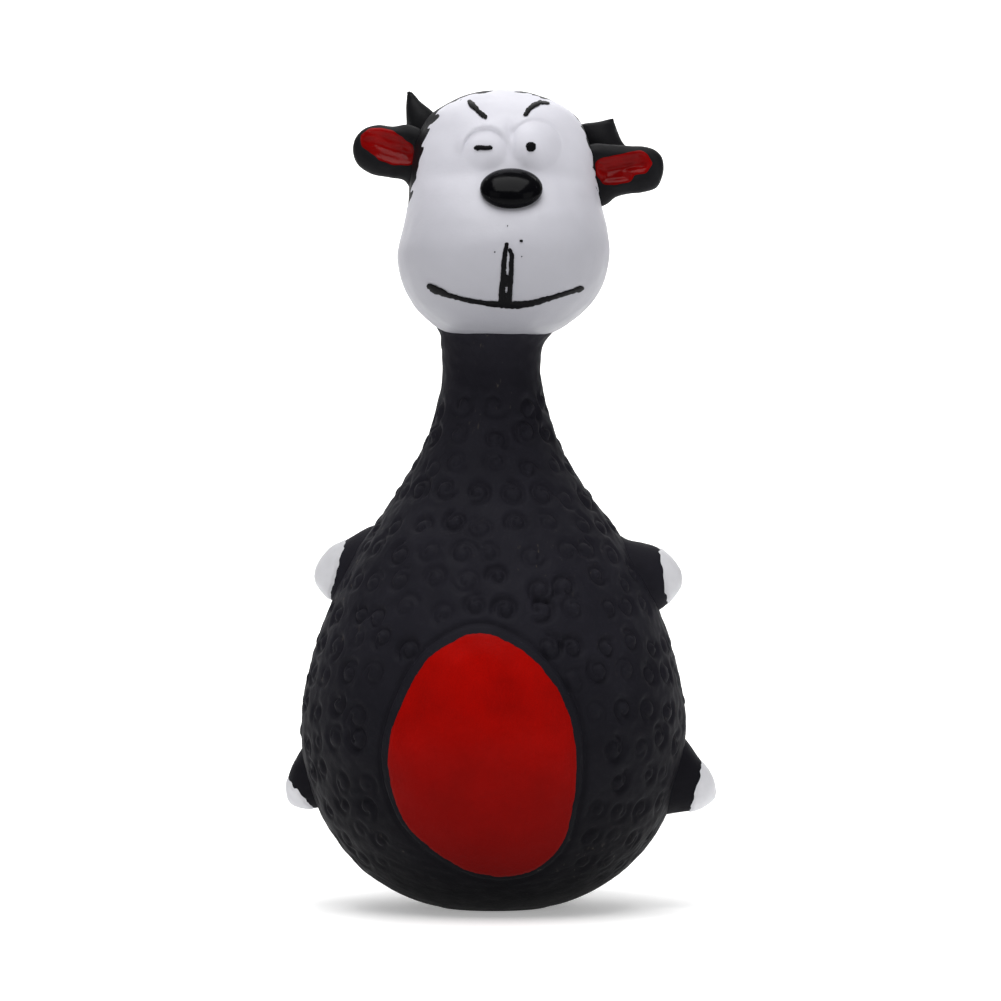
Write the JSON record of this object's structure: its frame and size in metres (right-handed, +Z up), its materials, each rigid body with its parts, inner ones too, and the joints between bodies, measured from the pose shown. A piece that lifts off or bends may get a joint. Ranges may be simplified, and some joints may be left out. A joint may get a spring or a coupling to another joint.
{
  "type": "squeaky latex toy animal",
  "caption": "Hollow latex squeaky toy shaped like a long-necked black farm animal with a white face, red belly oval, stub legs, sprung neck and ears, and a squeaker in its base.",
  "frame": {"origin": "middle of the flat base, on the resting plane, on the axis of the pear-shaped body", "axes": "+Z up along the body, -Y the way the face looks, +X to the right of someone looking at the face"},
  "size_m": [0.0902, 0.0809, 0.1704],
  "materials": {
    "black_latex": "semi-matte black painted latex",
    "white_latex": "satin white painted latex",
    "red_latex": "satin red painted latex",
    "gloss_black": "glossy black painted latex",
    "black_paint": "hand-brushed black paint line",
    "squeaker_plastic": "moulded natural plastic",
    "reed_plastic": "thin plastic strip"
  },
  "bodies": {
    "torso": {"torso_shell": "black_latex", "upper_left_leg": "black_latex", "upper_left_hoof": "white_latex", "upper_right_leg": "black_latex", "upper_right_hoof": "white_latex", "lower_left_leg": "black_latex", "lower_left_hoof": "white_latex", "lower_right_leg": "black_latex", "lower_right_hoof": "white_latex", "squeaker_barrel": "squeaker_plastic", "squeaker_reed_seat": "squeaker_plastic", "squeaker_reed_clamp": "squeaker_plastic"},
    "belly": {"belly_patch": "red_latex"},
    "neck": {"neck_lower": "black_latex", "neck_ring": "black_latex"},
    "head": {"neck_upper": "black_latex", "head_back_shell": "black_latex", "face_shell": "white_latex", "nose": "gloss_black", "left_horn": "black_latex", "right_horn": "black_latex", "left_eyebrow": "black_paint", "right_eyebrow": "black_paint", "wink_line": "black_paint", "open_eye_pupil": "black_paint", "mouth_line": "black_paint"},
    "left_ear": {"left_ear": "black_latex", "left_ear_lining": "red_latex"},
    "right_ear": {"right_ear": "black_latex", "right_ear_lining": "red_latex"},
    "reed": {"squeaker_reed": "reed_plastic"}
  },
  "joints": [
    {"name": "belly_press", "type": "slide", "parent": "torso", "child": "belly", "axis": [0, 1, 0], "range_m": [0, 0.008], "stiffness_N_per_m": 300},
    {"name": "neck_nod", "type": "hinge", "parent": "torso", "child": "neck", "pos_m": [0, 0, 0.098], "axis": [1, 0, 0], "range_deg": [-30, 30], "stiffness_Nm_per_rad": 0.4, "deforming": ["neck_lower"]},
    {"name": "neck_sway", "type": "hinge", "parent": "neck", "child": "head", "pos_m": [0, 0, 0.113], "axis": [0, 1, 0], "range_deg": [-25, 25], "stiffness_Nm_per_rad": 0.4, "deforming": ["neck_upper"]},
    {"name": "left_ear_flap", "type": "hinge", "parent": "head", "child": "left_ear", "pos_m": [-0.0171, -0.0026, 0.157], "axis": [0, 1, 0], "range_deg": [-20, 20], "stiffness_Nm_per_rad": 0.01},
    {"name": "right_ear_flap", "type": "hinge", "parent": "head", "child": "right_ear", "pos_m": [0.0218, -0.0026, 0.1528], "axis": [0, 1, 0], "range_deg": [-20, 20], "stiffness_Nm_per_rad": 0.01},
    {"name": "reed_flutter", "type": "hinge", "parent": "torso", "child": "reed", "pos_m": [0, 0, 0.0055], "axis": [1, 0, 0], "range_deg": [-3, 3], "stiffness_Nm_per_rad": 0.001}
  ]
}
